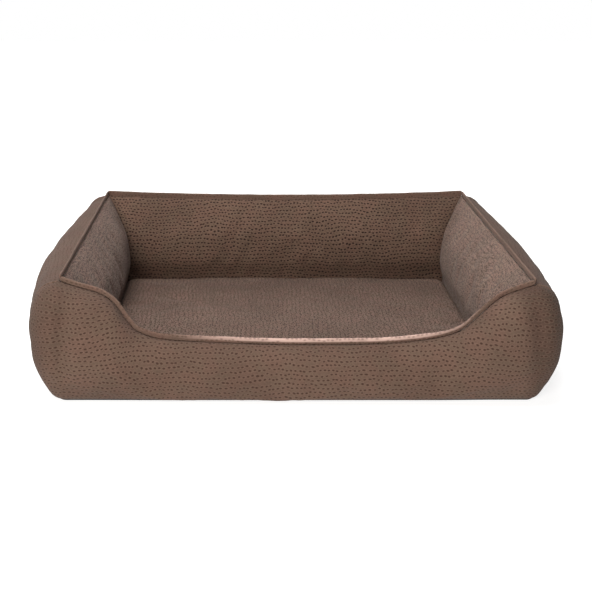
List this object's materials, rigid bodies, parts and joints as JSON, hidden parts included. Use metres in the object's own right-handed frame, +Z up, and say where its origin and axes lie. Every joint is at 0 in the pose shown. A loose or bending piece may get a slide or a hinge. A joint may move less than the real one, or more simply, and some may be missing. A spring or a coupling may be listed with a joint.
{
  "type": "pet cushion bed",
  "caption": "Rectangular pet bed: a sewn cover holds padded bolsters round a well with a low front entrance, and a loose zipped cushion lies in the well",
  "frame": {"origin": "on the floor under the middle of the bed", "axes": "+X right as seen from the entrance, +Y towards the back, +Z up; the entrance faces -Y"},
  "size_m": [1.0478, 0.788, 0.256],
  "materials": {
    "cover_fabric": "matt suede-like microfibre in taupe brown with small dark printed dots in wavy rows",
    "seam_fabric": "the cover's microfibre folded and stitched into a raised seam",
    "lining_fabric": "plain dark brown woven lining",
    "base_fabric": "dark woven base fabric with small non-slip dots",
    "casing_fabric": "thin off-white non-woven casing",
    "filling": "white polyester fibre filling",
    "foam": "cream open-cell foam",
    "zip_tape": "dark brown woven zip tape with a nylon coil",
    "zip_metal": "nickel-plated zip hardware",
    "label_fabric": "blank woven label"
  },
  "bodies": {
    "cover": {"back_casing": "casing_fabric", "back_core": "filling", "back_inner_panel": "cover_fabric", "back_left_corner_seam": "seam_fabric", "back_left_inner_corner_seam": "seam_fabric", "back_outer_panel": "cover_fabric", "back_right_corner_seam": "seam_fabric", "back_right_inner_corner_seam": "seam_fabric", "back_rim_seam": "seam_fabric", "base_panel": "base_fabric", "cover_label": "label_fabric", "cover_zip_closed_stop": "zip_metal", "cover_zip_lower_tape": "zip_tape", "cover_zip_open_stop": "zip_metal", "cover_zip_upper_tape": "zip_tape", "front_casing": "casing_fabric", "front_core": "filling", "front_inner_panel": "cover_fabric", "front_left_corner_seam": "seam_fabric", "front_left_inner_corner_seam": "seam_fabric", "front_outer_panel": "cover_fabric", "front_right_corner_seam": "seam_fabric", "front_right_inner_corner_seam": "seam_fabric", "front_rim_seam": "seam_fabric", "left_casing": "casing_fabric", "left_core": "filling", "left_inner_panel": "cover_fabric", "left_outer_panel": "cover_fabric", "left_rim_seam": "seam_fabric", "right_casing": "casing_fabric", "right_core": "filling", "right_inner_panel": "cover_fabric", "right_outer_panel": "cover_fabric", "right_rim_seam": "seam_fabric", "well_floor_panel": "lining_fabric"},
    "cushion": {"cushion_bottom_panel": "lining_fabric", "cushion_edge_seam": "seam_fabric", "cushion_foam": "foam", "cushion_liner": "casing_fabric", "cushion_top_panel": "cover_fabric", "cushion_wadding": "filling", "cushion_zip_closed_stop": "zip_metal", "cushion_zip_lower_tape": "zip_tape", "cushion_zip_open_stop": "zip_metal", "cushion_zip_upper_tape": "zip_tape"},
    "cover_zip_runner": {"cover_zip_slider": "zip_metal", "cover_zip_bail": "zip_metal"},
    "cover_zip_tab": {"cover_zip_pull": "zip_metal"},
    "cushion_zip_runner": {"cushion_zip_slider": "zip_metal"}
  },
  "joints": [
    {"name": "cushion_lift", "type": "slide", "parent": "cover", "child": "cushion", "axis": [0, 0, 1], "range_m": [0, 0.3]},
    {"name": "cover_zip_slide", "type": "slide", "parent": "cover", "child": "cover_zip_runner", "axis": [-1, 0, 0], "range_m": [0, 0.69]},
    {"name": "cover_zip_pull_hinge", "type": "hinge", "parent": "cover_zip_runner", "child": "cover_zip_tab", "pos_m": [0.345, 0.3655, 0.0215], "axis": [0, 0, -1], "range_deg": [0, 180]},
    {"name": "cushion_zip_slide", "type": "slide", "parent": "cushion", "child": "cushion_zip_runner", "axis": [-1, 0, 0], "range_m": [0, 0.614]}
  ]
}
